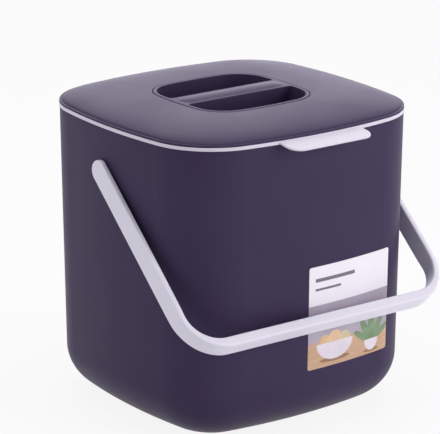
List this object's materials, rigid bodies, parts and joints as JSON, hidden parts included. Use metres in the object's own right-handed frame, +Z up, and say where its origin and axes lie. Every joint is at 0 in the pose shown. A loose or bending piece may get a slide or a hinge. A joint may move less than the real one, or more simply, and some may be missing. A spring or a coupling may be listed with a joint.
{
  "type": "desktop trash can",
  "caption": "Small square-round bin with a crowned lift-off lid, finger-well grip, lift-out inner bucket with a pull tab, and a swinging bail handle.",
  "frame": {"origin": "on the floor, under the middle of the bin's base", "axes": "+Z up; -Y to the front, where the pull tab and the label are; X along the grip bar of the lid and the bail's pivot line"},
  "size_m": [0.2108, 0.208, 0.2112],
  "materials": {
    "dark_shell": "fine matte moulded",
    "dark_lid": "fine matte moulded",
    "pale_liner": "satin moulded",
    "pale_bail": "satin moulded",
    "seal": "soft matte",
    "label_paper": "coated paper"
  },
  "bodies": {
    "bucket": {"outer_bucket": "dark_shell", "label": "label_paper"},
    "liner": {"inner_bucket": "pale_liner"},
    "lid": {"lid_cover": "dark_lid", "lid_grip": "dark_lid", "lid_base": "pale_liner", "lid_seal": "seal"},
    "bail": {"bail_handle": "pale_bail"}
  },
  "joints": [
    {"name": "liner_lift", "type": "slide", "parent": "bucket", "child": "liner", "axis": [0, 0, 1], "range_m": [0, 0.2]},
    {"name": "lid_lift", "type": "slide", "parent": "liner", "child": "lid", "axis": [0, 0, 1], "range_m": [0, 0.12]},
    {"name": "bail_swing", "type": "hinge", "parent": "bucket", "child": "bail", "pos_m": [0, 0, 0.1687], "axis": [-1, 0, 0], "range_deg": [0, 264]}
  ]
}
